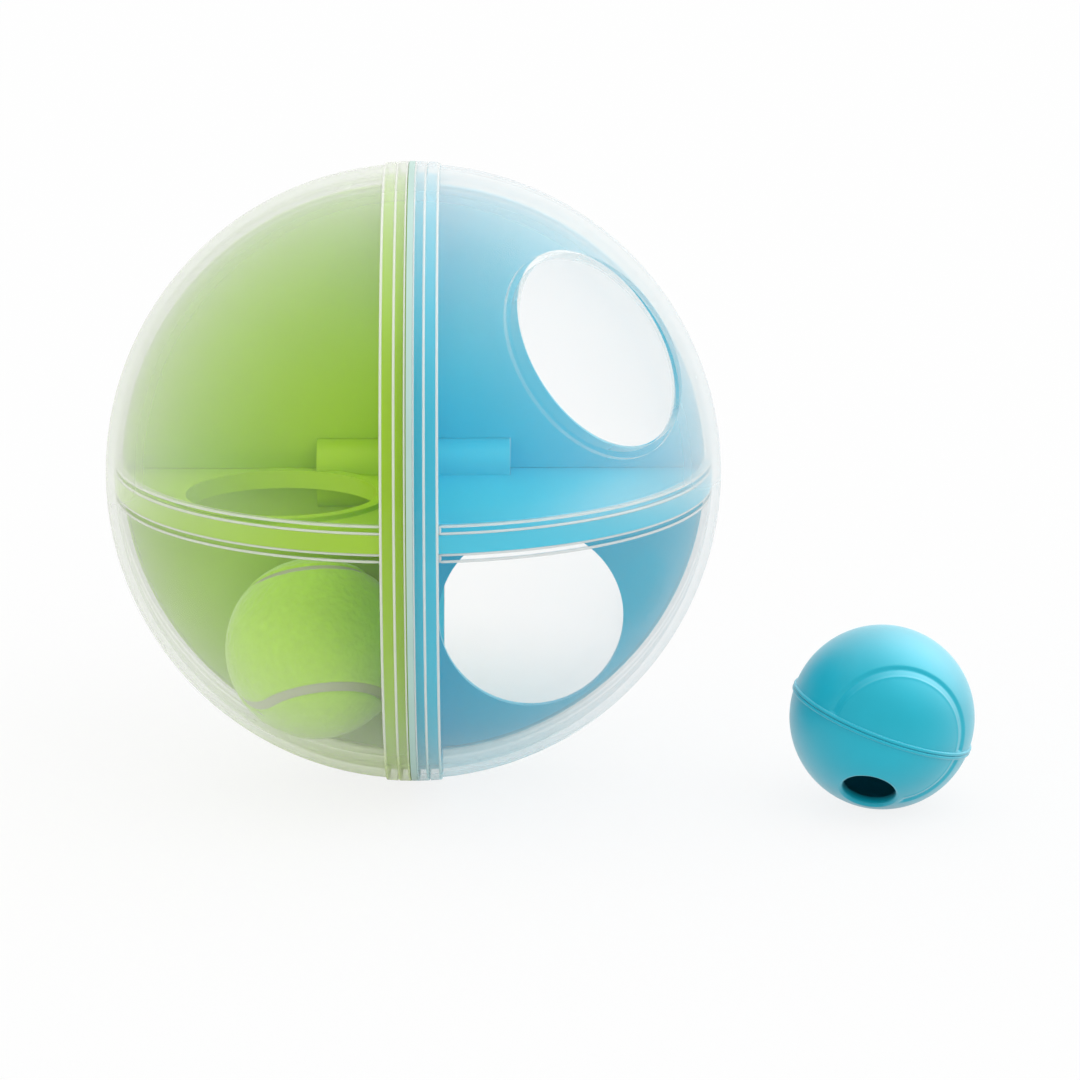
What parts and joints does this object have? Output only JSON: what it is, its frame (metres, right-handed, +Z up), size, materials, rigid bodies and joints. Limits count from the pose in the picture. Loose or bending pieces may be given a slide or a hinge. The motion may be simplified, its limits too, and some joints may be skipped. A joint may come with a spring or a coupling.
{
  "type": "treat maze ball",
  "caption": "See-through two-colour maze ball whose halves twist and pull apart, with chambers and passages, a tennis ball inside and a small treat ball beside it.",
  "frame": {"origin": "the point on the floor under the middle of the maze ball, which is the lowest point of its seam ring", "axes": "+Z up; +X square to the seam, towards the blue half; -Y towards the front, where the exit hole and the tennis ball show"},
  "size_m": [0.2994, 0.2156, 0.2156],
  "materials": {
    "clear_shell": "milky clear moulded plastic, gloss",
    "green_plastic": "moulded green plastic, satin",
    "blue_plastic": "moulded blue plastic, satin",
    "pale_gasket": "pale soft ring, satin",
    "pale_axle": "pale moulded plastic",
    "core_rubber": "dark rubber",
    "green_felt": "woolly green felt",
    "seam_rubber": "grey-beige rubber, matt",
    "treat_rubber": "blue rubber, satin"
  },
  "bodies": {
    "right_half": {"right_shell": "clear_shell", "right_seam_wall": "blue_plastic", "right_floor": "blue_plastic", "right_upper_wall": "blue_plastic", "right_lower_wall": "blue_plastic", "right_hub": "blue_plastic", "right_hub_cap": "blue_plastic", "seam_gasket": "pale_gasket"},
    "hub_axle": {"hub_axle": "pale_axle"},
    "left_half": {"left_shell": "clear_shell", "left_seam_wall": "green_plastic", "left_floor": "green_plastic", "left_upper_wall": "green_plastic", "left_lower_wall": "green_plastic", "left_hub": "green_plastic", "left_hub_cap": "green_plastic"},
    "tennis_ball": {"tennis_ball_core": "core_rubber", "tennis_ball_felt": "green_felt", "tennis_ball_seam": "seam_rubber"},
    "treat_ball": {"treat_ball_upper": "treat_rubber", "treat_ball_lower": "treat_rubber"}
  },
  "joints": [
    {"name": "half_twist", "type": "hinge", "parent": "right_half", "child": "hub_axle", "pos_m": [0, 0, 0.1078], "axis": [1, 0, 0], "continuous": true},
    {"name": "half_pull", "type": "slide", "parent": "hub_axle", "child": "left_half", "axis": [-1, 0, 0], "range_m": [0, 0.08]},
    {"name": "tennis_ball_roll", "type": "hinge", "parent": "left_half", "child": "tennis_ball", "pos_m": [0, 0, 0.1078], "axis": [1, 0, 0], "range_deg": [-25, 0]},
    {"name": "treat_ball_spin", "type": "hinge", "parent": "right_half", "child": "treat_ball", "pos_m": [0.1607, -0.0463, 0.0317], "axis": [-0.2026, -0.7228, -0.6607], "continuous": true}
  ]
}
